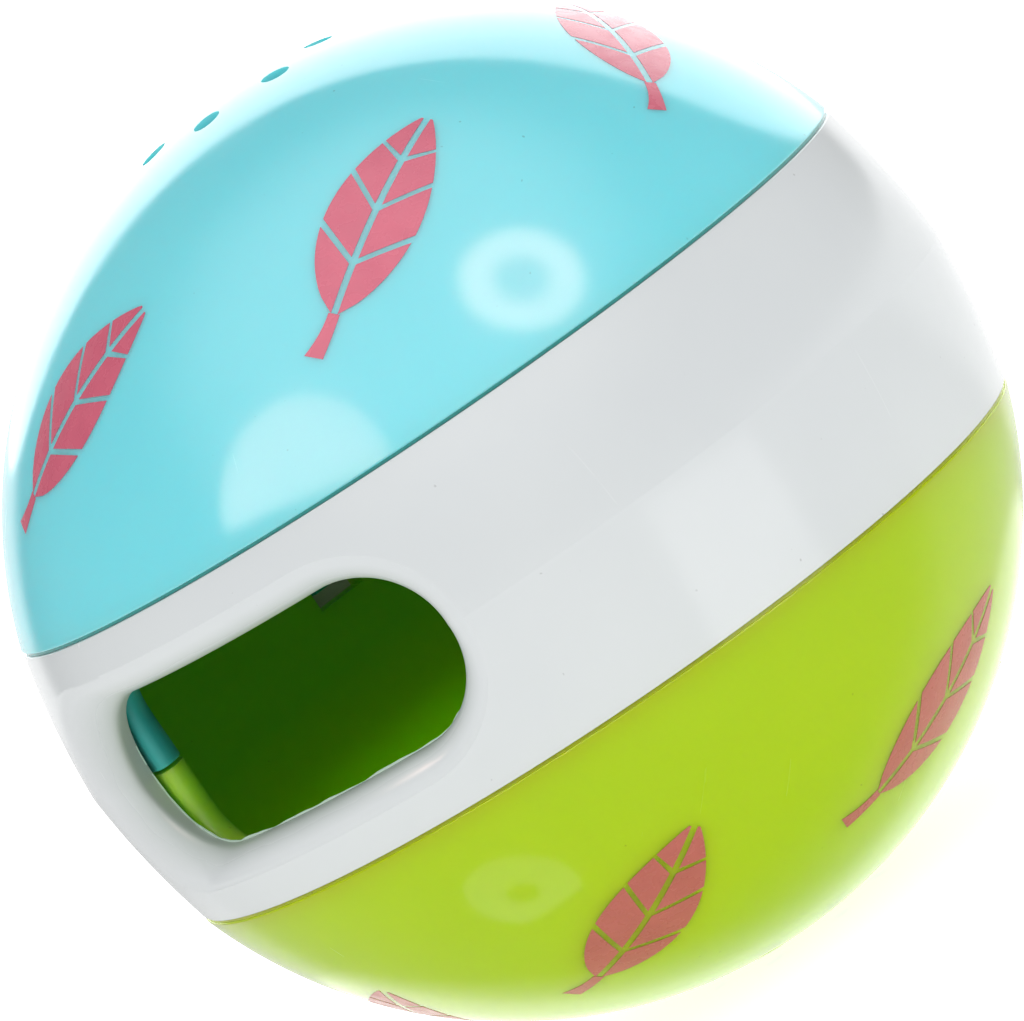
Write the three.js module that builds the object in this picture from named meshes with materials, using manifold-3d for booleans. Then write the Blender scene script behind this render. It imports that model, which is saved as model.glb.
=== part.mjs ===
// Treat dispensing ball: two equal caps and a turning band with a window between them.
// Millimetres, +Z up. The ball stands on the flat at its lower pole and the window faces -Y.
// The upper cap is the lower cap turned half a turn about Y, so one moulding serves for both.

import * as THREE from 'three';
import { mergeVertices } from 'three/addons/utils/BufferGeometryUtils.js';
import Module from 'manifold-3d';

const wasm = await Module();
wasm.setup();

// Ball and shell
const BALL_RADIUS = 35;
const POLE_FLAT_RADIUS = 2.75;
const DOME_WALL = 2.2;
const CAP_EDGE_RADIUS = 0.25;

// Turning band
const BAND_WIDTH = 21.7;
const BAND_INSET = 0.1;
const BAND_CROWN = 1.66;
const BAND_BULGE = 0.26;
const BAND_RIM_WALL = 1.4;
const BAND_EDGE_RADIUS = 0.2;

// Window in the band, as seen from the front, with a rolled lip that runs out in a thumb ramp
const WINDOW_LENGTH = 31.1;
const WINDOW_HEIGHT = 12.4;
const LIP_WIDTH = 2.1;
const LIP_DEPTH = 2.0;
const LIP_SWEEP = THREE.MathUtils.degToRad(70);
const THUMB_RAMP_LENGTH = 8.0;

// Collars of the caps
const COLLAR_WALL = 2.3;
const OPENING_LENGTH = 28.0;
const OPENING_HEIGHT = 13.8;
const OPENING_CORNER = 3.6;

// Snap bead that holds a cap in the band
const BEAD_HEIGHT = 0.6;
const BEAD_WIDTH = 1.9;
const BEAD_FROM_SEAM = 2.5;

// Tongue that keys one cap to the other, by angles counted from the window
const TONGUE_HEIGHT = 5;
const TONGUE_START = THREE.MathUtils.degToRad(48);
const TONGUE_SPAN = THREE.MathUtils.degToRad(59.2);
const RELIEF_SPAN = THREE.MathUtils.degToRad(8);
const RELIEF_DEPTH = 1.1;

// Scent holes
const SCENT_HOLES = 8;
const SCENT_HOLE_DIAMETER = 2.1;
const SCENT_CIRCLE_DIAMETER = 14.6;

// Clearances, and how far a cutter runs past what it cuts
const SEAM_GAP = 0.3;
const RUNNING_GAP = 0.3;
const SPLIT_GAP = 0.3;
const TONGUE_GAP = 0.4;
const CUT_MARGIN = 1.5;

// Facets
const ROUND_STEPS = 64;
const DOME_STEPS = 11;
const BOWL_STEPS = 8;
const CROWN_STEPS = 4;
const EDGE_STEPS = 3;
const CORNER_STEPS = 6;
const SIDE_STEPS = 7;
const LIP_STEPS = 5;
const LIP_OVERRUN = 2;
const NOSE_STEPS = 4;
const HOLE_STEPS = 12;
const WELD_DISTANCE = 1e-4;

// Derived sizes, measured from the ball centre
const bandHalf = BAND_WIDTH / 2;
const shoulderZ = bandHalf + SEAM_GAP;
const poleZ = Math.sqrt(BALL_RADIUS ** 2 - POLE_FLAT_RADIUS ** 2);
const capRimRadius = Math.sqrt(BALL_RADIUS ** 2 - shoulderZ ** 2);
const bandRimRadius = Math.sqrt(BALL_RADIUS ** 2 - bandHalf ** 2) - BAND_INSET;
const boreRadius = bandRimRadius - BAND_RIM_WALL;
const collarOuter = boreRadius - RUNNING_GAP;
const collarInner = collarOuter - COLLAR_WALL;
const bowlRadius = BALL_RADIUS - DOME_WALL;
const beadZ = bandHalf - BEAD_FROM_SEAM;
const tongueEnd = TONGUE_START + TONGUE_SPAN;
const tongueSlack = TONGUE_GAP / collarInner;
const cutReach = BALL_RADIUS + CUT_MARGIN;

const vec = (radius, z) => new THREE.Vector2(radius, z);

// A closed solid from any geometry, with shared corners joined and flat triangles dropped.
function toSolid(geometry) {
  const bare = new THREE.BufferGeometry();
  bare.setAttribute('position', geometry.getAttribute('position'));
  bare.setIndex(geometry.index);
  const joined = mergeVertices(bare, WELD_DISTANCE);
  const corners = joined.index.array;
  const kept = [];
  for (let i = 0; i < corners.length; i += 3) {
    const [a, b, c] = corners.slice(i, i + 3);
    if (a !== b && b !== c && c !== a) kept.push(a, b, c);
  }
  const mesh = new wasm.Mesh({
    numProp: 3,
    vertProperties: new Float32Array(joined.getAttribute('position').array),
    triVerts: new Uint32Array(kept),
  });
  return new wasm.Manifold(mesh);
}

function toMesh(solid, name, material) {
  const { vertProperties, triVerts } = solid.getMesh();
  const geometry = new THREE.BufferGeometry();
  geometry.setAttribute('position', new THREE.BufferAttribute(new Float32Array(vertProperties), 3));
  geometry.setIndex(new THREE.BufferAttribute(new Uint32Array(triVerts), 1));
  geometry.computeVertexNormals();
  const mesh = new THREE.Mesh(geometry, material);
  mesh.name = name;
  return mesh;
}

// A profile turned about Z. It is listed anticlockwise, with radius across and height up.
function turned(profile) {
  const closed = [...profile, profile[0].clone()];
  return toSolid(new THREE.LatheGeometry(closed, ROUND_STEPS).rotateX(Math.PI / 2));
}

// A rounded corner from one point to another about the sharp corner between them.
function rounded(from, corner, to) {
  return new THREE.QuadraticBezierCurve(from, corner, to).getPoints(EDGE_STEPS);
}

// Radius of the band's outside at a height, with a faint crest at mid height.
function bandOutside(z) {
  const share = Math.min(Math.abs(z) / bandHalf, 1);
  return bandRimRadius + BAND_CROWN * (1 - share) + 4 * BAND_BULGE * share * (1 - share);
}

// A sector round Z between two angles counted from the window, above a height.
function sectorAbove(from, to, bottom) {
  const shape = new THREE.Shape();
  shape.moveTo(0, 0);
  shape.absarc(0, 0, cutReach, from, to, false);
  shape.closePath();
  const depth = TONGUE_HEIGHT - bottom + CUT_MARGIN;
  const options = { depth, bevelEnabled: false, curveSegments: ROUND_STEPS };
  const sector = new THREE.ExtrudeGeometry(shape, options);
  return toSolid(sector.rotateZ(-Math.PI / 2).translate(0, 0, bottom));
}

// Outline of a rounded oblong in the front view, anticlockwise from the right-hand side.
// Its long sides are cut into steps, so that a loft through it follows the round wall.
function oblong(left, right, halfHeight, corner) {
  const outline = [];
  const centres = [
    [right - corner, halfHeight - corner],
    [left + corner, halfHeight - corner],
    [left + corner, corner - halfHeight],
    [right - corner, corner - halfHeight],
  ];
  centres.forEach(([x, z], quarter) => {
    for (let i = 0; i <= CORNER_STEPS; i += 1) {
      const angle = (quarter + i / CORNER_STEPS) * (Math.PI / 2);
      outline.push(vec(x + corner * Math.cos(angle), z + corner * Math.sin(angle)));
    }
    if (quarter % 2 === 0) {
      const start = outline.at(-1);
      const run = centres[quarter + 1][0] - x;
      for (let i = 1; i < SIDE_STEPS; i += 1) {
        outline.push(vec(start.x + (run * i) / SIDE_STEPS, start.y));
      }
    }
  });
  return outline;
}

// A cutter through a round wall, lofted along -Y through outlines on rising radii to a flat end.
function wallCutter(curved) {
  const flat = { outline: curved.at(-1).outline, radiusAt: null };
  const rings = [...curved, flat];
  const count = flat.outline.length;
  const reach = (radius, x) => (radius === null ? cutReach : Math.sqrt(radius ** 2 - x ** 2));
  const points = rings.flatMap(({ outline, radiusAt }) =>
    outline.flatMap(({ x, y }) => [x, -reach(radiusAt && radiusAt(y), x), y]));
  const faces = [];
  for (let ring = 0; ring < rings.length - 1; ring += 1) {
    for (let i = 0; i < count; i += 1) {
      const a = ring * count + i;
      const b = ring * count + ((i + 1) % count);
      faces.push(a, b, b + count, a, b + count, a + count);
    }
  }
  const last = (rings.length - 1) * count;
  const cap = (outline) => THREE.ShapeUtils.triangulateShape(outline, []);
  cap(rings[0].outline).forEach(([a, b, c]) => faces.push(a, c, b));
  cap(rings.at(-1).outline).forEach(([a, b, c]) => faces.push(last + a, last + b, last + c));
  const geometry = new THREE.BufferGeometry();
  geometry.setAttribute('position', new THREE.Float32BufferAttribute(points, 3));
  geometry.setIndex(faces);
  return toSolid(geometry);
}

// Window of the band: a plain wall at the bore that rolls over into the lip, and at its left-hand
// end more slowly into the thumb ramp. The shares say how far the lip and ramp have run out, and
// how far the wall has risen to the band's outside.
function windowCutter() {
  const half = WINDOW_LENGTH / 2;
  const tall = WINDOW_HEIGHT / 2;
  const ringAt = ({ lipShare, rampShare, rise }) => {
    const lip = lipShare * LIP_WIDTH;
    const ramp = rampShare * (THUMB_RAMP_LENGTH - LIP_WIDTH);
    const outline = oblong(-half - lip - ramp, half + lip, tall + lip, tall + lip);
    return { outline, radiusAt: (z) => bandOutside(z) - LIP_DEPTH * (1 - rise) };
  };
  const sharesAt = (angle) => {
    const rise = Math.sin(angle) / Math.sin(LIP_SWEEP);
    const lipShare = (1 - Math.cos(angle)) / (1 - Math.cos(LIP_SWEEP));
    return { lipShare, rampShare: rise ** 3, rise };
  };
  const rings = [{ outline: ringAt(sharesAt(0)).outline, radiusAt: () => boreRadius - CUT_MARGIN }];
  for (let i = 0; i < LIP_STEPS; i += 1) {
    rings.push(ringAt(sharesAt((LIP_SWEEP * i) / LIP_STEPS)));
  }
  const last = sharesAt(LIP_SWEEP * (1 - 1 / LIP_STEPS));
  const past = (share) => 1 + LIP_OVERRUN * (1 - share);
  const lipShare = past(last.lipShare);
  rings.push(ringAt({ lipShare, rampShare: past(last.rampShare), rise: past(last.rise) }));
  return wallCutter(rings);
}

// Treat opening shared by the two collars, with a full round on its edge.
function openingCutter() {
  const nose = COLLAR_WALL / 2;
  const outlineAt = (grow) => oblong(
    -OPENING_LENGTH / 2 - grow,
    OPENING_LENGTH / 2 + grow,
    OPENING_HEIGHT / 2 + grow,
    OPENING_CORNER + grow,
  );
  const rings = [{ outline: outlineAt(nose), radiusAt: () => collarInner - CUT_MARGIN }];
  for (let i = 0; i <= NOSE_STEPS; i += 1) {
    const angle = Math.PI * (i / NOSE_STEPS - 0.5);
    const grow = nose * (1 - Math.cos(angle));
    const radius = collarInner + nose * (1 + Math.sin(angle));
    rings.push({ outline: outlineAt(grow), radiusAt: () => radius });
  }
  rings.push({ outline: outlineAt(nose), radiusAt: () => collarOuter + CUT_MARGIN });
  return wallCutter(rings);
}

// Domed cap with its mouth up: dome, shoulder, collar with snap bead, bowl.
function capBlank() {
  const domeStart = Math.asin(POLE_FLAT_RADIUS / BALL_RADIUS);
  const domeStop = Math.acos((shoulderZ + CAP_EDGE_RADIUS) / BALL_RADIUS);
  const profile = [vec(0, -poleZ)];
  for (let i = 0; i <= DOME_STEPS; i += 1) {
    const angle = domeStart + ((domeStop - domeStart) * i) / DOME_STEPS;
    profile.push(vec(BALL_RADIUS * Math.sin(angle), -BALL_RADIUS * Math.cos(angle)));
  }
  const rim = vec(capRimRadius, -shoulderZ);
  const shoulder = vec(capRimRadius - CAP_EDGE_RADIUS, -shoulderZ);
  profile.push(...rounded(profile.at(-1), rim, shoulder).slice(1));
  profile.push(vec(collarOuter, -shoulderZ));
  profile.push(vec(collarOuter, -beadZ - BEAD_WIDTH / 2));
  profile.push(vec(collarOuter + BEAD_HEIGHT, -beadZ - BEAD_WIDTH / 2 + BEAD_HEIGHT));
  profile.push(vec(collarOuter + BEAD_HEIGHT, -beadZ + BEAD_WIDTH / 2 - BEAD_HEIGHT));
  profile.push(vec(collarOuter, -beadZ + BEAD_WIDTH / 2));
  const nose = COLLAR_WALL / 2;
  for (let i = 0; i <= NOSE_STEPS; i += 1) {
    const angle = (Math.PI * i) / NOSE_STEPS;
    const radius = collarInner + nose * (1 + Math.cos(angle));
    profile.push(vec(radius, TONGUE_HEIGHT - nose + nose * Math.sin(angle)));
  }
  const bowlStart = Math.asin(collarInner / bowlRadius);
  for (let i = 0; i <= BOWL_STEPS; i += 1) {
    const angle = bowlStart * (1 - i / BOWL_STEPS);
    profile.push(vec(bowlRadius * Math.sin(angle), -bowlRadius * Math.cos(angle)));
  }
  return turned(profile);
}

function scentHoles() {
  const drills = [];
  const length = 2 * (DOME_WALL + CUT_MARGIN);
  for (let i = 0; i < SCENT_HOLES; i += 1) {
    const angle = ((i + 0.5) * 2 * Math.PI) / SCENT_HOLES;
    const radius = SCENT_HOLE_DIAMETER / 2;
    const drill = new THREE.CylinderGeometry(radius, radius, length, HOLE_STEPS);
    drill.rotateX(Math.PI / 2);
    const x = (SCENT_CIRCLE_DIAMETER / 2) * Math.cos(angle);
    const y = (SCENT_CIRCLE_DIAMETER / 2) * Math.sin(angle);
    drills.push(toSolid(drill.translate(x, y, -poleZ + length / 2 - CUT_MARGIN)));
  }
  return wasm.Manifold.union(drills);
}

function lowerCap() {
  const cuts = [
    sectorAbove(-TONGUE_START, 2 * Math.PI - tongueEnd, -SPLIT_GAP / 2),
    sectorAbove(-TONGUE_START, RELIEF_SPAN - TONGUE_START, -RELIEF_DEPTH),
    sectorAbove(-tongueEnd - RELIEF_SPAN, -tongueEnd, -RELIEF_DEPTH),
    sectorAbove(TONGUE_START - tongueSlack, tongueEnd + tongueSlack, -TONGUE_HEIGHT - TONGUE_GAP),
    openingCutter(),
    scentHoles(),
  ];
  return capBlank().subtract(wasm.Manifold.union(cuts));
}

// Ring with a crowned outside and a bore that carries one snap groove for each cap.
function bandBlank() {
  const outside = [];
  const flat = bandHalf - BAND_EDGE_RADIUS;
  for (let i = -CROWN_STEPS; i <= CROWN_STEPS; i += 1) {
    const z = (flat * i) / CROWN_STEPS;
    outside.push(vec(bandOutside(z), z));
  }
  const rim = bandRimRadius - BAND_EDGE_RADIUS;
  const top = rounded(outside.at(-1), vec(bandRimRadius, bandHalf), vec(rim, bandHalf));
  const bottom = rounded(vec(rim, -bandHalf), vec(bandRimRadius, -bandHalf), outside[0]);
  const slack = RUNNING_GAP * (Math.SQRT2 - 1);
  const groove = (z) => [
    vec(boreRadius, z + BEAD_WIDTH / 2 + slack),
    vec(boreRadius + BEAD_HEIGHT, z + BEAD_WIDTH / 2 + slack - BEAD_HEIGHT),
    vec(boreRadius + BEAD_HEIGHT, z - BEAD_WIDTH / 2 - slack + BEAD_HEIGHT),
    vec(boreRadius, z - BEAD_WIDTH / 2 - slack),
  ];
  return turned([
    vec(boreRadius, -bandHalf),
    ...bottom.slice(0, -1),
    ...outside,
    ...top.slice(1),
    vec(boreRadius, bandHalf),
    ...groove(beadZ),
    ...groove(-beadZ),
  ]);
}

const plastic = (name, color, roughness) =>
  new THREE.MeshStandardMaterial({ name, color, roughness, metalness: 0 });

const cyan = plastic('cyan_plastic', 0x8fdde6, 0.28);
const lime = plastic('lime_plastic', 0xb0ce1e, 0.28);
const white = plastic('white_plastic', 0xdde1e2, 0.34);

const cap = lowerCap();
const upperCap = toMesh(cap.rotate([0, 180, 0]), 'upper_cap', cyan);
const windowBand = toMesh(bandBlank().subtract(windowCutter()), 'window_band', white);
const lowerCapMesh = toMesh(cap, 'lower_cap', lime);

const ball = new THREE.Group();
ball.name = 'treat_ball';
ball.add(lowerCapMesh, windowBand, upperCap);
ball.position.z = poleZ;

const part = new THREE.Group();
part.name = 'treat_dispensing_ball';
part.add(ball);

export default part;
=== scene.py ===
import math

import bmesh
import bpy
import numpy as np
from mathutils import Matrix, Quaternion, Vector


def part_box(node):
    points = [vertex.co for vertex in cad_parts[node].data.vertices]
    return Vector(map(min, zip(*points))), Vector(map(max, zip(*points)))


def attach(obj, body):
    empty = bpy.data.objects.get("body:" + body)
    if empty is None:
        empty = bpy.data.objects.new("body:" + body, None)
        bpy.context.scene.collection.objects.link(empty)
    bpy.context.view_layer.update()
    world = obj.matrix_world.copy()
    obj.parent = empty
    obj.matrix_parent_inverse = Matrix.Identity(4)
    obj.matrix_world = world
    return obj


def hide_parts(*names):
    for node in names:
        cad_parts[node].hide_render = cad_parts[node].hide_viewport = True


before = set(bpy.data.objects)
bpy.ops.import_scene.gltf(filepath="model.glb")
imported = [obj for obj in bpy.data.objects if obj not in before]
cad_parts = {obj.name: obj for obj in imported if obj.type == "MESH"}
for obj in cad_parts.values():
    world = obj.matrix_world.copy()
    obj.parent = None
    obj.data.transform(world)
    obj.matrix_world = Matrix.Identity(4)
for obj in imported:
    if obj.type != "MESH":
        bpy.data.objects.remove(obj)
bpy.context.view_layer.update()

scene = bpy.context.scene
MM = 0.001

# Sizes in millimetres from the ball centre, as in the solids
BALL_RADIUS = 35.0
POLE_FLAT_RADIUS = 2.75
DOME_WALL = 2.2
BAND_INSET = 0.1
BAND_CROWN = 1.66
BAND_BULGE = 0.26
BAND_RIM_WALL = 1.4
WINDOW_LENGTH = 31.1
WINDOW_HEIGHT = 12.4
LIP_WIDTH = 2.1
LIP_DEPTH = 2.0
LIP_SWEEP = math.radians(70)
THUMB_RAMP_LENGTH = 8.0
THUMB_RAMP_POWER = 3
COLLAR_WALL = 2.3
OPENING_LENGTH = 28.0
OPENING_HEIGHT = 13.8
OPENING_CORNER = 3.6
BEAD_HEIGHT = 0.6
BEAD_WIDTH = 1.9
BEAD_FROM_SEAM = 2.5
TONGUE_HEIGHT = 5.0
TONGUE_START = math.radians(48)
TONGUE_SPAN = math.radians(59.2)
RELIEF_SPAN = math.radians(8)
RELIEF_DEPTH = 1.1
SCENT_HOLES = 8
SCENT_HOLE_DIAMETER = 2.1
SCENT_CIRCLE_DIAMETER = 14.6
SEAM_GAP = 0.3
RUNNING_GAP = 0.3
SPLIT_GAP = 0.3
TONGUE_GAP = 0.4

# How far the cutters go past what they cut, in millimetres and in last steps of the lip
CUT_MARGIN = 1.5
LIP_OVERRUN = 4

# A seam shows as a tighter groove than the solids' running gap, with crisper edges beside it and a
# rib of the cap at the bottom of it
SEAM_SEEN = 0.25
CAP_EDGE_RADIUS = 0.18
BAND_EDGE_RADIUS = 0.08
RIB_DEPTH = 0.2
RIB_WIDTH = 0.6
RIB_CLEARANCE = 0.02

# The thin fin of flash round the window, where its wall meets the bore: its sizes, the shares of
# its height that make it ragged and let it fade out upwards, and its waves round the window
FLASH_HEIGHT = 0.24
FLASH_THICKNESS = 0.12
FLASH_ROOT = 0.1
FLASH_SUNK = 0.03
FLASH_MEAN = 0.5
FLASH_SWELL = 0.3
FLASH_TOOTH = 0.1
FLASH_MIDWAY = 0.5
FLASH_FADE = 0.8
SWELL_WAVES = 19
BEAT_WAVES = 5
BEAT_PHASE = 2
TOOTH_WAVES = 47

# The printed leaves: sizes in millimetres, and powers and shares of the length for the curves
LEAF_COUNT = 6
LEAF_LATITUDE = math.radians(44)
LEAF_SLANT = math.radians(34)
LEAF_LENGTH = 17.0
LEAF_WIDTH = 6.8
LEAF_TAPER = 0.82
LEAF_FULLNESS = 0.8
LEAF_VEINS = 4
VEIN_GAP = 0.5
VEIN_SWEEP = 0.16
VEIN_LEAD = 0.12
STEM_LENGTH = 3.4
STEM_BEND = 0.5
STEM_HALF_WIDTH = 0.42
STEM_FLARE = 0.3
INK = 0.02
UPPER_PHASE = 0.35
LOWER_PHASE = -0.1

# Sizes read from the frame
band_low, band_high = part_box("window_band")
CENTRE = Vector((0, 0, (band_low.z + band_high.z) / 2))
BAND_HALF = (band_high.z - band_low.z) / 2 / MM + (SEAM_GAP - SEAM_SEEN) / 2

# Derived sizes
SHOULDER_Z = BAND_HALF + SEAM_SEEN
POLE_Z = math.sqrt(BALL_RADIUS**2 - POLE_FLAT_RADIUS**2)
CAP_RIM = math.sqrt(BALL_RADIUS**2 - SHOULDER_Z**2)
BAND_RIM = math.sqrt(BALL_RADIUS**2 - BAND_HALF**2) - BAND_INSET
BORE = BAND_RIM - BAND_RIM_WALL
COLLAR_OUTER = BORE - RUNNING_GAP
COLLAR_INNER = COLLAR_OUTER - COLLAR_WALL
BOWL_RADIUS = BALL_RADIUS - DOME_WALL
BEAD_Z = BAND_HALF - BEAD_FROM_SEAM
TONGUE_END = TONGUE_START + TONGUE_SPAN
TONGUE_SLACK = TONGUE_GAP / COLLAR_INNER

# Fineness of the meshes, and the distance in metres under which two points are one
ROUND_STEPS = 288
DOME_STEPS = 48
BOWL_STEPS = 36
CROWN_STEPS = 14
CORNER_STEPS = 28
SIDE_STEPS = 30
LIP_STEPS = 18
NOSE_STEPS = 12
EDGE_STEPS = 6
HOLE_STEPS = 40
LEAF_STEPS = 9
STEM_STEPS = 6
CARD_STEPS = 96
WELD = 2e-7

# Shading of the meshes: what counts as an edge, and when a corner lies on a known surface
SHARP_EDGE = math.radians(28)
SHARP_PRINT_EDGE = math.radians(40)
ON_SURFACE = 0.01
ON_CROWN = 0.004
FACES_AGREE = 0.94
TINY = 1e-6


# Mesh making

def mesh_object(name, points, faces):
    mesh = bpy.data.meshes.new(name)
    mesh.from_pydata([tuple(c * MM for c in p) for p in points], [], faces)
    obj = bpy.data.objects.new(name, mesh)
    scene.collection.objects.link(obj)
    return obj


def welded(obj):
    """obj with the points that lie on one another joined."""
    bm = bmesh.new()
    bm.from_mesh(obj.data)
    bmesh.ops.remove_doubles(bm, verts=bm.verts, dist=WELD)
    bm.to_mesh(obj.data)
    bm.free()
    return obj


def turned(name, profile, steps):
    """A closed profile of (radius, height) pairs, listed anticlockwise, turned about Z."""
    points, rings = [], []
    for radius, z in profile:
        count = 1 if radius < TINY else steps
        rings.append(range(len(points), len(points) + count))
        for k in range(count):
            angle = 2 * math.pi * k / steps - math.pi / 2
            points.append((radius * math.cos(angle), radius * math.sin(angle), z))
    faces = []
    for low, high in zip(rings, rings[1:] + rings[:1]):
        if len(low) == 1 and len(high) == 1:
            continue
        for k in range(steps):
            n = (k + 1) % steps
            loop = [low[k % len(low)], low[n % len(low)], high[n % len(high)], high[k % len(high)]]
            faces.append(list(dict.fromkeys(loop)))
    return mesh_object(name, points, faces)


def bezier(start, corner, end, steps):
    """Points from start to end, rounding the sharp corner between them."""
    out = []
    for i in range(steps + 1):
        t = i / steps
        a, b, c = (1 - t) ** 2, 2 * t * (1 - t), t * t
        out.append(tuple(a * p + b * q + c * r for p, q, r in zip(start, corner, end)))
    return out


def crown(share):
    """The band's outer radius at a share of its half height."""
    return BAND_RIM + BAND_CROWN * (1 - share) + 4 * BAND_BULGE * share * (1 - share)


def band_outside(z):
    """The band's outer radius at a height."""
    return crown(min(abs(z) / BAND_HALF, 1))


def oblong(left, right, half_height, corner):
    """Outline of a rounded oblong in the front view, anticlockwise from its right-hand side."""
    outline = []
    centres = [
        (right - corner, half_height - corner),
        (left + corner, half_height - corner),
        (left + corner, corner - half_height),
        (right - corner, corner - half_height),
    ]
    for quarter, (x, z) in enumerate(centres):
        for i in range(CORNER_STEPS + 1):
            angle = (quarter + i / CORNER_STEPS) * math.pi / 2
            outline.append((x + corner * math.cos(angle), z + corner * math.sin(angle)))
        if quarter % 2 == 0:
            start = outline[-1]
            run = centres[quarter + 1][0] - x
            for i in range(1, SIDE_STEPS):
                outline.append((start[0] + run * i / SIDE_STEPS, start[1]))
    return outline


def wall_cutter(rings):
    """A cutter lofted along -Y through rings of (outline, radius at a height).

    A tip half way in closes one end, and a flat beyond the ball the other."""
    count = len(rings[0][0])
    points = []
    for outline, radius_at in rings:
        points += [(x, -math.sqrt(radius_at(z) ** 2 - x * x), z) for x, z in outline]
    points += [(x, -BALL_RADIUS - CUT_MARGIN, z) for x, z in rings[-1][0]]
    faces = []
    for ring in range(len(rings)):
        for i in range(count):
            a = ring * count + i
            b = ring * count + (i + 1) % count
            faces.append((a, b, b + count, a + count))
    last = len(rings) * count
    faces.append(tuple(last + i for i in range(count)))
    points.append((0, -BORE / 2, 0))
    faces += [(i, len(points) - 1, (i + 1) % count) for i in range(count)]
    return mesh_object("cutter", points, faces)


def sector_above(start, end, bottom):
    """A sector round Z between two angles counted from the window, above a height."""
    steps = int(math.degrees(end - start))
    rim = [start - math.pi / 2 + (end - start) * i / steps for i in range(steps + 1)]
    reach = BALL_RADIUS + CUT_MARGIN
    flat = [(0, 0)] + [(reach * math.cos(a), reach * math.sin(a)) for a in rim]
    count = len(flat)
    top = TONGUE_HEIGHT + CUT_MARGIN
    points = [(x, y, bottom) for x, y in flat] + [(x, y, top) for x, y in flat]
    faces = [tuple(reversed(range(count))), tuple(range(count, 2 * count))]
    for i in range(count):
        j = (i + 1) % count
        faces.append((i, j, j + count, i + count))
    return mesh_object("cutter", points, faces)


def carved(obj, cutters):
    """obj with the cutters taken away, as a plain mesh."""
    for cutter in cutters:
        cut = obj.modifiers.new("cut", "BOOLEAN")
        cut.operation = "DIFFERENCE"
        cut.solver = "MANIFOLD"
        cut.object = cutter
    depsgraph = bpy.context.evaluated_depsgraph_get()
    obj.data = bpy.data.meshes.new_from_object(obj.evaluated_get(depsgraph))
    obj.modifiers.clear()
    for cutter in cutters:
        bpy.data.objects.remove(cutter)
    return welded(obj)


def polished(obj, true_normal):
    """Smooth shading with true normals where true_normal knows the surface, and crisp edges."""
    mesh = obj.data
    mesh.shade_smooth()
    mesh.set_sharp_from_angle(angle=SHARP_EDGE)
    loops = len(mesh.loops)
    normals = np.zeros(loops * 3)
    mesh.corner_normals.foreach_get("vector", normals)
    normals = normals.reshape(-1, 3)
    corner = np.zeros(loops, dtype=np.int64)
    mesh.loops.foreach_get("vertex_index", corner)
    spots = np.zeros(len(mesh.vertices) * 3)
    mesh.vertices.foreach_get("co", spots)
    spots = spots.reshape(-1, 3)[corner] / MM
    flat = np.zeros(len(mesh.polygons) * 3)
    mesh.polygons.foreach_get("normal", flat)
    sides = np.zeros(len(mesh.polygons), dtype=np.int64)
    mesh.polygons.foreach_get("loop_total", sides)
    flat = np.repeat(flat.reshape(-1, 3), sides, axis=0)
    better, known = true_normal(spots, flat)
    close = known & ((better * flat).sum(1) > FACES_AGREE)
    normals[close] = better[close]
    mesh.normals_split_custom_set(normals.tolist())
    return obj


def placed(obj, body, slot, material, *nodes):
    obj.location = CENTRE
    obj.data.materials.clear()
    obj.data.materials.append(material)
    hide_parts(*nodes)
    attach(obj, body)


# Caps

def cap_blank(name):
    """A cap turned in one piece, before anything is cut out of it."""
    start = math.asin(POLE_FLAT_RADIUS / BALL_RADIUS)
    stop = math.acos((SHOULDER_Z + CAP_EDGE_RADIUS) / BALL_RADIUS)
    profile = [(0, -POLE_Z)]
    for i in range(DOME_STEPS + 1):
        angle = start + (stop - start) * i / DOME_STEPS
        profile.append((BALL_RADIUS * math.sin(angle), -BALL_RADIUS * math.cos(angle)))
    shoulder = (CAP_RIM - CAP_EDGE_RADIUS, -SHOULDER_Z)
    profile += bezier(profile[-1], (CAP_RIM, -SHOULDER_Z), shoulder, EDGE_STEPS)[1:]
    rib_top = -BAND_HALF - RIB_CLEARANCE
    rib_outer = min(shoulder[0], CAP_RIM - RIB_DEPTH)
    profile += [
        (rib_outer, -SHOULDER_Z),
        (rib_outer, rib_top),
        (rib_outer - RIB_WIDTH, rib_top),
        (rib_outer - RIB_WIDTH, -SHOULDER_Z),
        (COLLAR_OUTER, -SHOULDER_Z),
        (COLLAR_OUTER, -BEAD_Z - BEAD_WIDTH / 2),
        (COLLAR_OUTER + BEAD_HEIGHT, -BEAD_Z - BEAD_WIDTH / 2 + BEAD_HEIGHT),
        (COLLAR_OUTER + BEAD_HEIGHT, -BEAD_Z + BEAD_WIDTH / 2 - BEAD_HEIGHT),
        (COLLAR_OUTER, -BEAD_Z + BEAD_WIDTH / 2),
    ]
    nose = COLLAR_WALL / 2
    for i in range(NOSE_STEPS + 1):
        angle = math.pi * i / NOSE_STEPS
        radius = COLLAR_INNER + nose * (1 + math.cos(angle))
        profile.append((radius, TONGUE_HEIGHT - nose + nose * math.sin(angle)))
    bowl = math.asin(COLLAR_INNER / BOWL_RADIUS)
    for i in range(BOWL_STEPS + 1):
        angle = bowl * (1 - i / BOWL_STEPS)
        profile.append((BOWL_RADIUS * math.sin(angle), -BOWL_RADIUS * math.cos(angle)))
    return turned(name, profile, ROUND_STEPS)


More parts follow.
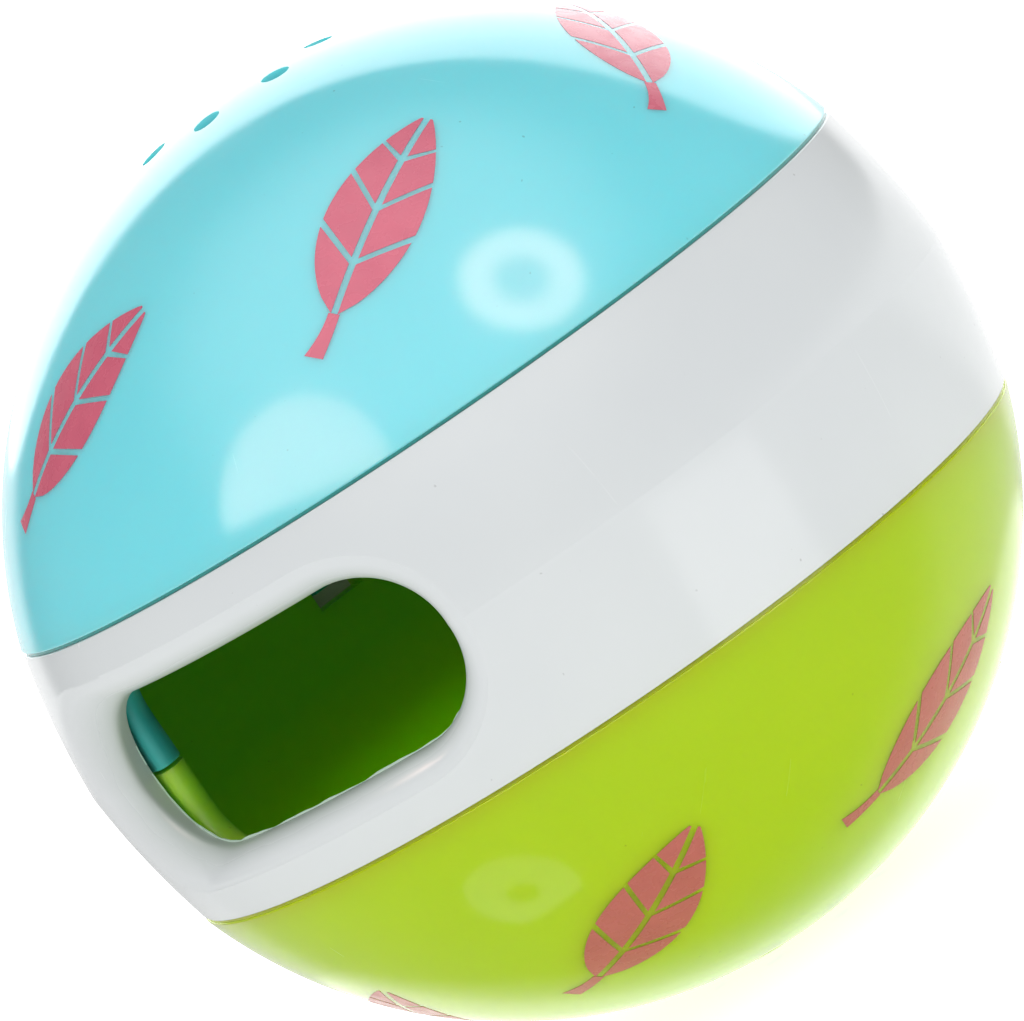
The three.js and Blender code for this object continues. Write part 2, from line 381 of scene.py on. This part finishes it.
def opening_cutter():
    """The opening that the two collars share, with a rounded wall."""
    nose = COLLAR_WALL / 2

    def outline_at(grow):
        return oblong(
            -OPENING_LENGTH / 2 - grow,
            OPENING_LENGTH / 2 + grow,
            OPENING_HEIGHT / 2 + grow,
            OPENING_CORNER + grow,
        )

    rings = [(outline_at(nose), lambda z: COLLAR_INNER - CUT_MARGIN)]
    for i in range(NOSE_STEPS + 1):
        angle = math.pi * (i / NOSE_STEPS - 0.5)
        radius = COLLAR_INNER + nose * (1 + math.sin(angle))
        grow = nose * (1 - math.cos(angle))
        rings.append((outline_at(grow), lambda z, radius=radius: radius))
    rings.append((outline_at(nose), lambda z: COLLAR_OUTER + CUT_MARGIN))
    return wall_cutter(rings)


def scent_drills():
    drills = []
    bore = SCENT_HOLE_DIAMETER / 2
    middle = SCENT_CIRCLE_DIAMETER / 2
    low = -POLE_Z - CUT_MARGIN
    high = low + 2 * (DOME_WALL + CUT_MARGIN)
    profile = [(0, low), (bore, low), (bore, high), (0, high)]
    for i in range(SCENT_HOLES):
        angle = (i + 0.5) * 2 * math.pi / SCENT_HOLES
        drill = turned("cutter", profile, HOLE_STEPS)
        for v in drill.data.vertices:
            v.co.x += middle * math.cos(angle) * MM
            v.co.y += middle * math.sin(angle) * MM
        drills.append(drill)
    return drills


def cap(name):
    """A cap with its mouth up, at the ball centre."""
    turn = 2 * math.pi
    pocket = (TONGUE_START - TONGUE_SLACK, TONGUE_END + TONGUE_SLACK)
    cuts = [
        sector_above(-TONGUE_START, turn - TONGUE_END, -SPLIT_GAP / 2),
        sector_above(-TONGUE_START, RELIEF_SPAN - TONGUE_START, -RELIEF_DEPTH),
        sector_above(-TONGUE_END - RELIEF_SPAN, -TONGUE_END, -RELIEF_DEPTH),
        sector_above(*pocket, -TONGUE_HEIGHT - TONGUE_GAP),
        opening_cutter(),
    ]
    return carved(cap_blank(name), cuts + scent_drills())


def cap_normal(spots, flat):
    """Outward on the dome, inward on the bowl and level on the collar."""
    reach = np.linalg.norm(spots, axis=1)
    round_reach = np.linalg.norm(spots[:, :2], axis=1)
    unit = spots / np.maximum(reach, TINY)[:, None]
    level = np.concatenate([spots[:, :2], np.zeros((len(spots), 1))], axis=1)
    level /= np.maximum(round_reach, TINY)[:, None]
    outward = (unit * flat).sum(1)
    better = np.zeros_like(spots)
    known = np.zeros(len(spots), dtype=bool)
    for distance, radius, side, normal in (
        (reach, BALL_RADIUS, 1, unit),
        (reach, BOWL_RADIUS, -1, unit),
        (round_reach, COLLAR_OUTER, 1, level),
        (round_reach, COLLAR_INNER, -1, level),
    ):
        mask = (np.abs(distance - radius) < ON_SURFACE) & (side * outward > 0)
        better[mask] = side * normal[mask]
        known |= mask
    return better, known


# Band

def band():
    flat = BAND_HALF - BAND_EDGE_RADIUS
    outside = []
    for i in range(-CROWN_STEPS, CROWN_STEPS + 1):
        z = flat * i / CROWN_STEPS
        outside.append((band_outside(z), z))
    rim = BAND_RIM - BAND_EDGE_RADIUS
    top = bezier(outside[-1], (BAND_RIM, BAND_HALF), (rim, BAND_HALF), EDGE_STEPS)
    bottom = bezier((rim, -BAND_HALF), (BAND_RIM, -BAND_HALF), outside[0], EDGE_STEPS)
    slack = RUNNING_GAP * (math.sqrt(2) - 1)

    def groove(z):
        half = BEAD_WIDTH / 2 + slack
        return [
            (BORE, z + half),
            (BORE + BEAD_HEIGHT, z + half - BEAD_HEIGHT),
            (BORE + BEAD_HEIGHT, z - half + BEAD_HEIGHT),
            (BORE, z - half),
        ]

    profile = [(BORE, -BAND_HALF), *bottom[:-1], *outside, *top[1:], (BORE, BAND_HALF)]
    blank = turned("band", profile + groove(BEAD_Z) + groove(-BEAD_Z), 2 * ROUND_STEPS)
    return carved(blank, [window_cutter()])


def window_cutter():
    """The window's wall, the lip that it rolls over into, and the ramp at the lip's left end."""
    half = WINDOW_LENGTH / 2
    tall = WINDOW_HEIGHT / 2

    def ring_at(lip_share, ramp_share, rise):
        lip = lip_share * LIP_WIDTH
        ramp = ramp_share * (THUMB_RAMP_LENGTH - LIP_WIDTH)
        outline = oblong(-half - lip - ramp, half + lip, tall + lip, tall + lip)
        return outline, lambda z: band_outside(z) - LIP_DEPTH * (1 - rise)

    def shares_at(angle):
        rise = math.sin(angle) / math.sin(LIP_SWEEP)
        lip_share = (1 - math.cos(angle)) / (1 - math.cos(LIP_SWEEP))
        return lip_share, rise**THUMB_RAMP_POWER, rise

    rings = [(ring_at(*shares_at(0))[0], lambda z: BORE - CUT_MARGIN)]
    rings += [ring_at(*shares_at(LIP_SWEEP * i / LIP_STEPS)) for i in range(LIP_STEPS)]
    last = shares_at(LIP_SWEEP * (1 - 1 / LIP_STEPS))
    rings.append(ring_at(*(1 + LIP_OVERRUN * (1 - share) for share in last)))
    return wall_cutter(rings)


def window_flash():
    """The ragged fin that the mould left round the window's inner edge, fading out at the top."""
    half = WINDOW_LENGTH / 2
    tall = WINDOW_HEIGHT / 2
    outline = oblong(-half, half, tall, tall)
    count = len(outline)
    points, faces = [], []
    for i, (x, z) in enumerate(outline):
        (x0, z0), (x1, z1) = outline[i - 1], outline[(i + 1) % count]
        run = math.hypot(x1 - x0, z1 - z0)
        inward = ((z0 - z1) / run, (x1 - x0) / run)
        turn = 2 * math.pi * i / count
        beat = math.sin(BEAT_WAVES * turn + BEAT_PHASE)
        swell = FLASH_SWELL * math.sin(SWELL_WAVES * turn) * beat
        ragged = FLASH_MEAN + swell + FLASH_TOOTH * math.sin(TOOTH_WAVES * turn)
        lower = min(max(FLASH_MIDWAY - FLASH_FADE * z / tall, 0), 1)
        height = FLASH_HEIGHT * ragged * lower - FLASH_SUNK
        section = (
            (-FLASH_ROOT, FLASH_THICKNESS),
            (height, FLASH_THICKNESS),
            (height, 0),
            (-FLASH_ROOT, 0),
        )
        sides = len(section)
        a, b = sides * i, sides * ((i + 1) % count)
        for j, (reach, depth) in enumerate(section):
            px = x + inward[0] * reach
            points.append((px, -math.sqrt((BORE + depth) ** 2 - px * px), z + inward[1] * reach))
            k = (j + 1) % sides
            faces.append((a + k, a + j, b + j, b + k))
    return mesh_object("window_flash", points, faces)


def band_normal(spots, flat):
    """Outward on the crowned outside, and inward on the bore."""
    round_reach = np.linalg.norm(spots[:, :2], axis=1)
    level = spots[:, :2] / np.maximum(round_reach, TINY)[:, None]
    side = np.sign(flat[:, 2])
    share = np.clip(np.abs(spots[:, 2]) / BAND_HALF, 0, 1)
    slope = (-BAND_CROWN + 4 * BAND_BULGE * (1 - 2 * share)) / BAND_HALF * side
    outer = np.concatenate([level, -slope[:, None]], axis=1)
    outer /= np.linalg.norm(outer, axis=1)[:, None]
    inner = np.concatenate([-level, np.zeros((len(spots), 1))], axis=1)
    facing = (flat[:, :2] * level).sum(1)
    better = np.zeros_like(spots)
    on_outside = (np.abs(round_reach - crown(share)) < ON_CROWN) & (facing > 0)
    on_bore = (np.abs(round_reach - BORE) < ON_SURFACE) & (facing < 0)
    better[on_outside] = outer[on_outside]
    better[on_bore] = inner[on_bore]
    return better, on_outside | on_bore


# Leaf prints

def leaf_half_width(u):
    """Half width of the leaf at u from 0, its stem end, to 1, its tip."""
    return LEAF_WIDTH / 2 * math.sin(math.pi * u**LEAF_TAPER) ** LEAF_FULLNESS


def lobe(side, vein):
    """A grid of (along, across) points for the lobe past a vein, on one side of the midrib."""
    low = vein / LEAF_VEINS
    span = 1 / LEAF_VEINS - VEIN_GAP / LEAF_LENGTH
    grid = []
    for i in range(LEAF_STEPS + 1):
        foot = low + span * i / LEAF_STEPS
        sweep = VEIN_SWEEP * math.sin(math.pi * min(foot + VEIN_LEAD, 1))
        edge = min(foot + sweep, 1)
        reach = leaf_half_width(edge)
        inner = min(VEIN_GAP / 2, reach)
        row = []
        for j in range(LEAF_STEPS + 1):
            across = inner + (reach - inner) * j / LEAF_STEPS
            along = foot + (edge - foot) * j / LEAF_STEPS
            row.append(((along - 0.5) * LEAF_LENGTH, side * across))
        grid.append(row)
    return grid[::side]


def stem():
    """A grid of (along, across) points for the leaf's stem, which bends and widens to its end."""
    grid = []
    for i in range(STEM_STEPS + 1):
        share = i / STEM_STEPS
        along = -0.5 * LEAF_LENGTH - STEM_LENGTH * share
        bend = STEM_BEND * share**2
        half = STEM_HALF_WIDTH + STEM_FLARE * share**2
        grid.append([(along, bend + half * side) for side in (-1, 0, 1)])
    return grid[::-1]


def patch_faces(start, rows, cols):
    """Faces of a thin closed patch: a top grid of points from start, then a bottom grid."""
    below = rows * cols
    faces = []
    for i in range(rows - 1):
        for j in range(cols - 1):
            a = start + i * cols + j
            faces.append((a, a + cols, a + cols + 1, a + 1))
            faces.append(tuple(below + v for v in (a, a + 1, a + cols + 1, a + cols)))
    rim = [i * cols for i in range(rows)]
    rim += [(rows - 1) * cols + j for j in range(1, cols)]
    rim += [i * cols + cols - 1 for i in range(rows - 2, -1, -1)]
    rim += list(range(cols - 2, 0, -1))
    for a, b in zip(rim, rim[1:] + rim[:1]):
        faces.append((start + b, start + a, start + a + below, start + b + below))
    return faces


def leaves(name, flip, phase):
    """A ring of leaves lying on a cap, as thin as ink. flip is -1 for the lower cap."""
    patches = [lobe(side, vein) for side in (1, -1) for vein in range(LEAF_VEINS)] + [stem()]
    level = math.cos(LEAF_LATITUDE)
    points, faces = [], []
    for k in range(LEAF_COUNT):
        turn = phase + 2 * math.pi * k / LEAF_COUNT
        height = flip * math.sin(LEAF_LATITUDE)
        out = Vector((math.cos(turn) * level, math.sin(turn) * level, height))
        east = Vector((-math.sin(turn), math.cos(turn), 0))
        north = out.cross(east)
        along_dir = east * math.cos(LEAF_SLANT) + north * math.sin(LEAF_SLANT)
        across_dir = out.cross(along_dir)
        for patch in patches:
            faces += patch_faces(len(points), len(patch), len(patch[0]))
            for radius in (BALL_RADIUS + INK, BALL_RADIUS - INK):
                for row in patch:
                    for along, across in row:
                        flat = out * BALL_RADIUS + along_dir * along + across_dir * across
                        points.append(tuple(flat.normalized() * radius))
    return welded(mesh_object(name, points, faces))


# Materials

class Nodes:
    """The node tree of a material or of the world, with short calls."""

    def __init__(self, owner, coords=None):
        owner.use_nodes = True
        self.owner = owner
        self.tree = owner.node_tree
        if coords:
            self.coords = self.node("ShaderNodeTexCoord").outputs[coords]

    def feed(self, made, inputs):
        """Links each socket to the input of its name or number, and sets each plain value there."""
        for key, value in inputs.items():
            if isinstance(value, bpy.types.NodeSocket):
                self.tree.links.new(value, made.inputs[key])
            else:
                made.inputs[key].default_value = value

    def node(self, kind, inputs=None, **settings):
        made = self.tree.nodes.new(kind)
        for key, value in settings.items():
            setattr(made, key, value)
        self.feed(made, inputs or {})
        return made

    def shade(self, inputs):
        """Feeds the material's own shader."""
        self.feed(self.tree.nodes["Principled BSDF"], inputs)

    def part(self, axis):
        return self.node("ShaderNodeSeparateXYZ", {0: self.coords}).outputs[axis]

    def measure(self, operation, other=None):
        """The LENGTH of the place, or its DISTANCE from or DOT_PRODUCT with another vector."""
        inputs = {0: self.coords}
        if other is not None:
            inputs[1] = other
        return self.node("ShaderNodeVectorMath", inputs, operation=operation).outputs["Value"]

    def noise(self, scale, detail, stretch=None, turn=None):
        spot = self.coords
        if stretch:
            inputs = {"Vector": spot, "Scale": stretch, "Rotation": turn}
            spot = self.node("ShaderNodeMapping", inputs).outputs[0]
        made = self.node("ShaderNodeTexNoise", {"Vector": spot, "Scale": scale, "Detail": detail})
        return made.outputs["Fac"]

    def ramp(self, value, low, high, to_low=0.0, to_high=1.0, **settings):
        ends = {"From Min": low, "From Max": high, "To Min": to_low, "To Max": to_high}
        made = self.node("ShaderNodeMapRange", {"Value": value, **ends}, **settings)
        return made.outputs["Result"]

    def blotches(self, kind, to_low=0.0, to_high=1.0):
        """A noise ramped between two of its levels."""
        scale, detail, low, high, *way = kind
        return self.ramp(self.noise(scale, detail, *way), low, high, to_low, to_high)

    def math(self, operation, first, *others):
        """first, combined with each of the others in turn."""
        for other in others:
            made = self.node("ShaderNodeMath", {0: first, 1: other}, operation=operation)
            first = made.outputs[0]
        return first

    def mix(self, factor, a, b):
        made = self.node("ShaderNodeMix", {0: factor, 6: a, 7: b}, data_type="RGBA")
        return made.outputs[2]

    def bump(self, amount, height):
        return self.node("ShaderNodeBump", {**amount, "Height": height}).outputs[0]

    def rays(self):
        """Light Path's outputs, and the rays by which gloss and glass see."""
        path = self.node("ShaderNodeLightPath").outputs
        return path, self.math("MAXIMUM", path["Is Glossy Ray"], path["Is Transmission Ray"])


def linear(red, green, blue):
    """An sRGB colour of 0 to 255 as linear values."""
    parts = [c / 255 for c in (red, green, blue)]
    bent = [c / 12.92 if c <= 0.04045 else ((c + 0.055) / 1.055) ** 2.4 for c in parts]
    return (*bent, 1.0)


PLASTIC_IOR = 1.49

# Depths in millimetres between which the outside colour turns into the painted colour of the deep
# walls, and the height above the shoulder at which the colour of the bowl has turned into that of
# the collar, which is painted shade
SKIN_TOP = 0.5
SKIN_BOTTOM = 2.0
COLLAR_FADE = 6

# Noises: cells to the metre and detail, then the levels between which a ramp goes from 0 to 1,
# and for a scratch the stretch and the turn of its grain
CLOUDS = (38, 4, 0.35, 0.68)
SPECKS = (1500, 1, 0.80, 0.84)
SMEARS = (220, 5, 0.3, 0.75)
SCRATCHES = (
    (30, 2, 0.74, 0.78, (1.0, 90.0, 3.0), (0.3, 0.9, 0.5)),
    (30, 2, 0.75, 0.79, (80.0, 1.0, 4.0), (1.1, 0.2, 1.4)),
)
RIPPLE = (420, 2)
INK_MOTTLE = (420, 6, 0.3, 0.75)
INK_SMEARS = (900, 4, 0.3, 0.7)
INK_GRAIN = (1600, 3)

# How strongly the noises show
SPECK_SHARE = 0.5
SPECK_SHADE = 0.45
SMEAR_GLOSS = 0.85
SMEAR_MATT = 1.2
SCRATCH_MATT = 0.16
INSIDE_MATT = 0.3
RELIEF_SHARE = 0.5
PLASTIC_BUMP = {"Strength": 0.16, "Distance": 0.00003}
INK_ROUGHNESS = (0.2, 0.34)
INK_BUMP = {"Strength": 0.2, "Distance": 0.00002}


def below_skin(n):
    """0 on the outside of the ball, and 1 on the walls that lie deep in it, which take the painted
    colour and the painted glow of the deep walls.
    """
    skin = (BALL_RADIUS - SKIN_TOP) * MM, (BALL_RADIUS - SKIN_BOTTOM) * MM
    return n.ramp(n.measure("LENGTH"), *skin)


def on_rib(n):
    """1 on a cap's rib in the seam, and on all above it. The rib takes the cap's deep-wall colour,
    so the seam's line is painted shade on the cyan and painted light on the lime.
    """
    return n.math("GREATER_THAN", n.part("Z"), (RIB_CLEARANCE - SHOULDER_Z) * MM)


def above_shoulder(n):
    """1 on a cap's collar, which reaches up into the band and is painted darker there as painted
    shade.
    """
    return n.ramp(n.part("Z"), -SHOULDER_Z * MM, (COLLAR_FADE - SHOULDER_Z) * MM)


def plastic(name, skin, inside_shading, roughness, through, spread, glow, collar=None):
    """Moulded glossy plastic: flow clouds, faint ripple, hairline scratches and a few specks.

    skin is the pair of colours on the outside. inside is the colour of the walls deep in the ball:
    painted shade where it is darker than the skin, as on the cyan and white, and painted light
    where it is lighter, as on the lime. collar is the colour of a cap's collar, a little darker
    again, as painted shade. through is the share of light that enters the wall, spread is how far
    each colour gets in it, in millimetres, and glow is painted light on the deep walls, standing
    for the light that has gone round and round in the ball."""
    n = Nodes(bpy.data.materials.new(name), "Object")
    within = below_skin(n)
    # Where the painted shade and painted light of the deep walls go: deep in the ball, and on the
    # rib and above it
    depth_shading = within
    if collar:
        depth_shading = n.math("MAXIMUM", within, on_rib(n))
        inside_shading = n.mix(above_shoulder(n), inside_shading, collar)
    tint_and_shading = n.mix(depth_shading, n.mix(n.blotches(CLOUDS), *skin), inside_shading)
    speck = n.math("MULTIPLY", n.blotches(SPECKS), SPECK_SHARE)
    dirt = (*(SPECK_SHADE * c for c in skin[0][:3]), 1.0)
    scratch = n.math("MAXIMUM", *(n.blotches(kind) for kind in SCRATCHES))
    rough = n.blotches(SMEARS, roughness * SMEAR_GLOSS, roughness * SMEAR_MATT)
    scuffed = n.math("MULTIPLY", scratch, SCRATCH_MATT)
    matt = n.math("MAXIMUM", scuffed, n.math("MULTIPLY", within, INSIDE_MATT))
    relief = n.math("MULTIPLY", n.math("SUBTRACT", n.noise(*RIPPLE), scratch), RELIEF_SHARE)
    n.shade({
        "Base Color": n.mix(speck, tint_and_shading, dirt),
        "Roughness": n.math("ADD", rough, matt),
        "Normal": n.bump(PLASTIC_BUMP, relief),
        "IOR": PLASTIC_IOR,
        "Subsurface Weight": through,
        "Subsurface Radius": spread,
        "Subsurface Scale": MM,
        "Emission Color": glow,
        "Emission Strength": within,
    })
    return n.owner


def ink(name, colour, deep):
    """Pad-printed ink with the fine pin holes and soft mottle of a single coat."""
    n = Nodes(bpy.data.materials.new(name), "Object")
    n.shade({
        "Base Color": n.mix(n.blotches(INK_MOTTLE), colour, deep),
        "Roughness": n.blotches(INK_SMEARS, *INK_ROUGHNESS),
        "Normal": n.bump(INK_BUMP, n.noise(*INK_GRAIN)),
        "IOR": PLASTIC_IOR,
    })
    return n.owner


# The cyan's walls deep in the ball, its rib in the seam and its collar are painted a deep teal:
# painted shade
cyan = plastic(
    "cyan_plastic",
    skin=(linear(136, 230, 240), linear(129, 227, 238)),
    inside_shading=(0.05, 0.4, 0.36, 1),
    collar=(0.04, 0.38, 0.35, 1),
    roughness=0.13,
    through=1.0,
    spread=(0.5, 1.6, 1.5),
    glow=(0, 0.004, 0.004, 1),
)
# The lime's walls deep in the ball and its rib in the seam are painted lighter and greener than its
# skin,
# as painted light, and its collar is painted darker, as painted shade
lime = plastic(
    "lime_plastic",
    skin=(linear(181, 213, 4), linear(176, 209, 2)),
    inside_shading=(0.62, 0.84, 0.01, 1),
    collar=(0.34, 0.74, 0.05, 1),
    roughness=0.13,
    through=1.0,
    spread=(4.0, 5.0, 0.4),
    glow=(0.001, 0.011, 0, 1),
)
pale = {
    "skin": (linear(225, 229, 230), linear(221, 225, 227)),
    "through": 0.25,
    "spread": (1.5, 1.5, 1.5),
}
# The band's bore and the window's walls are painted a darker grey as painted shade, with a faint
# painted glow
white = plastic(
    "white_plastic",
    **pale,
    inside_shading=linear(172, 182, 176),
    roughness=0.16,
    glow=(0.014, 0.017, 0.008, 1),
)
# The fin is painted lighter and greener than the band's walls, with a stronger glow: painted light,
# for the bright line along the window's inner edge
thin_white = plastic(
    "thin_white_plastic",
    **pale,
    inside_shading=linear(202, 222, 210),
    roughness=0.3,
    glow=(0.07, 0.1, 0.075, 1),
)
pink_on_cyan = ink("pink_ink_upper", linear(219, 105, 128), linear(209, 97, 121))
pink_on_lime = ink("pink_ink_lower", linear(196, 104, 96), linear(186, 97, 88))


# Pieces

lower = polished(cap("lower_shell"), cap_normal)
upper = polished(cap("upper_shell"), cap_normal)
upper.rotation_euler = (0, math.pi, 0)
ring = polished(band(), band_normal)
placed(lower, "shell", "lime_plastic", lime, "lower_cap")
placed(upper, "shell", "cyan_plastic", cyan, "upper_cap")
placed(ring, "band", "white_plastic", white, "window_band")
flash = window_flash()
flash.location = CENTRE
flash.data.materials.append(thin_white)
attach(flash, "band")

for name, flip, phase, material in (
    ("upper_leaf_print", 1, UPPER_PHASE, pink_on_cyan),
    ("lower_leaf_print", -1, LOWER_PHASE, pink_on_lime),
):
    print_ring = leaves(name, flip, phase)
    print_ring.data.shade_smooth()
    print_ring.data.set_sharp_from_angle(angle=SHARP_PRINT_EDGE)
    print_ring.location = CENTRE
    print_ring.data.materials.append(material)
    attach(print_ring, "shell")


# Camera, at the angle and roll of the photograph

PHOTO_WIDTH = 1024
FOCAL_PIXELS = 7160
PHOTO_AZIMUTH = 40.92
PHOTO_ELEVATION = 6.49
PHOTO_ROLL = math.radians(-34.17)
PHOTO_DISTANCE = 14.05 * BALL_RADIUS * MM
PHOTO_SHIFT = (-0.0005, 0.0006)
SENSOR_WIDTH = 36
CLIP_NEAR = 0.01
CLIP_FAR = 50


def aim_at(azimuth, elevation):
    """The direction at an azimuth and elevation in degrees, counted from the window's side."""
    a, e = math.radians(azimuth), math.radians(elevation)
    return Vector((math.sin(a) * math.cos(e), -math.cos(a) * math.cos(e), math.sin(e)))


back = aim_at(PHOTO_AZIMUTH, PHOTO_ELEVATION)
camera = bpy.data.objects.new("camera", bpy.data.cameras.new("camera"))
scene.collection.objects.link(camera)
camera.data.sensor_width = SENSOR_WIDTH
camera.data.lens = SENSOR_WIDTH * FOCAL_PIXELS / PHOTO_WIDTH
camera.data.clip_start = CLIP_NEAR
camera.data.clip_end = CLIP_FAR
camera.data.shift_x, camera.data.shift_y = PHOTO_SHIFT
camera.location = CENTRE + back * PHOTO_DISTANCE
camera.rotation_mode = "QUATERNION"
upright = (-back).to_track_quat("-Z", "Y")
camera.rotation_quaternion = upright @ Quaternion((0, 0, 1), PHOTO_ROLL)
scene.camera = camera


# Floor and light

# The lamps are warm, so that their reflections look white on the cyan
LAMP_COLOUR = (1.0, 0.68, 0.6, 1.0)
WHITE = (1.0, 1.0, 1.0, 1.0)

FLOOR_REACH = 4000
FLOOR_COLOUR = (0.8, 0.8, 0.8, 1)
FLOOR_ROUGHNESS = 0.9
FLOOR_SEEN = 0.8
FLOOR_BOUNCE = 0.4

# The parts of the floor that show white in the gloss. A ramp lies between two distances in metres
# from the foot of the ball, and goes from 0 to 1 unless it names the strengths at its ends
NEAR_DEPTH = (-0.02, -0.006)
NEAR_REACH = (0.02, 0.15, 0.55, 0.0)
NEAR_TOWARD = (0.022, 0.012)
POOL_CENTRE = (-0.022, 0.027, 0.0)
POOL_REACH = (0.052, 0.044)
RIGHT_TOWARD = (-0.03, -0.07)
RIGHT_ASIDE = (0.03, 0.06, 0.0, 0.6)
FAR_DEPTH = (0.12, 0.3, 0.0, 0.5)

# The world is graded between two cosines of the angle from an aim, with the strengths there
FILL = (-0.5, 0.6, 0.62, 0.97)
BACKDROP = (-0.9, -0.8, 1.2, 0.12)
SOFT_BOX = (0.5, 0.95, 0.12, 2.4)
SOFT_BOX_AZIMUTH = 50
SOFT_BOX_ELEVATION = 62


def floor():
    """A pale lit table, parts of which the gloss sees as white."""
    far = FLOOR_REACH
    corners = [(-far, -far, 0), (far, -far, 0), (far, far, 0), (-far, far, 0)]
    obj = mesh_object("floor", corners, [(0, 1, 2, 3)])
    n = Nodes(bpy.data.materials.new("floor"), "Object")
    depth = n.part("Y")
    toward = n.measure("DOT_PRODUCT", back)
    aside = n.measure("DOT_PRODUCT", Vector((-back.y, back.x, 0)))
    near = n.math(
        "MULTIPLY",
        n.ramp(depth, *NEAR_DEPTH),
        n.ramp(n.measure("LENGTH"), *NEAR_REACH),
        n.ramp(toward, *NEAR_TOWARD),
    )
    pool = n.ramp(n.measure("DISTANCE", POOL_CENTRE), *POOL_REACH)
    right = n.math("MULTIPLY", n.ramp(toward, *RIGHT_TOWARD), n.ramp(aside, *RIGHT_ASIDE))
    shown = n.math("MAXIMUM", near, pool, right, n.ramp(depth, *FAR_DEPTH))
    path, mirrored = n.rays()
    glow = n.math(
        "MAXIMUM",
        n.math("MULTIPLY", path["Is Diffuse Ray"], FLOOR_BOUNCE),
        n.math("MULTIPLY", path["Is Camera Ray"], FLOOR_SEEN),
        n.math("MULTIPLY", mirrored, shown),
    )
    n.shade({
        "Base Color": FLOOR_COLOUR,
        "Roughness": FLOOR_ROUGHNESS,
        "Specular IOR Level": 0.0,
        "Emission Color": WHITE,
        "Emission Strength": glow,
    })
    n.owner.cycles.emission_sampling = "NONE"
    obj.data.materials.append(n.owner)


def glow_card(name, azimuth, elevation, distance, rim, hole, colour, strength):
    """A flat card that glows in the gloss alone, at an azimuth and elevation in degrees.

    distance is in metres. rim and hole are closed outlines in millimetres, with as many (x, y)
    points each."""
    count = len(rim)
    points = [(x, y, 0) for x, y in hole + rim]
    faces = []
    for i in range(count):
        j = (i + 1) % count
        faces.append((i, i + count, j + count, j))
    obj = mesh_object(name, points, faces)
    n = Nodes(bpy.data.materials.new(name))
    n.tree.nodes.remove(n.tree.nodes["Principled BSDF"])
    glow = n.node("ShaderNodeEmission", {"Color": colour, "Strength": strength})
    n.feed(n.tree.nodes["Material Output"], {"Surface": glow.outputs[0]})
    obj.data.materials.append(n.owner)
    away = aim_at(azimuth, elevation)
    obj.location = CENTRE + away * distance
    obj.rotation_mode = "QUATERNION"
    obj.rotation_quaternion = away.to_track_quat("Z", "Y")
    obj.visible_camera = False
    obj.visible_diffuse = False
    obj.visible_shadow = False


def oval(width, height, share=1.0):
    """An oval outline, or the first share of it, counted anticlockwise from its right-hand end."""
    angles = [2 * math.pi * share * k / CARD_STEPS for k in range(CARD_STEPS)]
    return [(width / 2 * math.cos(angle), height / 2 * math.sin(angle)) for angle in angles]


def rectangle(width, height):
    x, y = width / 2, height / 2
    return [(x, -y), (x, y), (-x, y), (-x, -y)]


def studio_world():
    """White all round, of which the gloss sees the backdrop, a soft box overhead and a dim room."""
    world = bpy.data.worlds.new("world")
    scene.world = world
    n = Nodes(world, "Generated")

    def graded(aim, levels):
        return n.ramp(n.measure("DOT_PRODUCT", aim), *levels, interpolation_type="SMOOTHSTEP")

    overhead = aim_at(SOFT_BOX_AZIMUTH, SOFT_BOX_ELEVATION)
    path, mirrored = n.rays()
    direct = n.math("MAXIMUM", mirrored, path["Is Camera Ray"])
    room = n.math("MAXIMUM", graded(back, BACKDROP), graded(overhead, SOFT_BOX))
    shown = n.math("MAXIMUM", path["Is Camera Ray"], room)
    fill = n.tree.nodes["Background"]
    n.feed(fill, {"Color": WHITE, "Strength": graded(back, FILL)})
    seen = n.node("ShaderNodeBackground", {"Color": WHITE, "Strength": shown})
    mixed = n.node("ShaderNodeMixShader", {0: direct, 1: fill.outputs[0], 2: seen.outputs[0]})
    n.feed(n.tree.nodes["World Output"], {"Surface": mixed.outputs[0]})


floor()
glow_card("front_card", 0, 31, 0.7, oval(520, 520, 0.5), oval(0, 0), LAMP_COLOUR, 7.2)
glow_card("ring_card", 81, 44, 0.7, oval(300, 300), oval(136, 136), LAMP_COLOUR, 10.0)
glow_card("ring_centre", 81, 44, 0.7, oval(136, 136), oval(0, 0), LAMP_COLOUR, 4.0)
glow_card("table_card", 69, -18, 0.058, rectangle(23, 23), rectangle(0, 0), WHITE, 1.9)
glow_card("table_ring", 2, -42, 0.047, oval(12.8, 12.8), oval(3.6, 3.6), WHITE, 1.3)
glow_card("back_card", 206, 25, 0.5, oval(840, 430), oval(0, 0), WHITE, 2.8)
studio_world()

scene.view_settings.view_transform = "Standard"
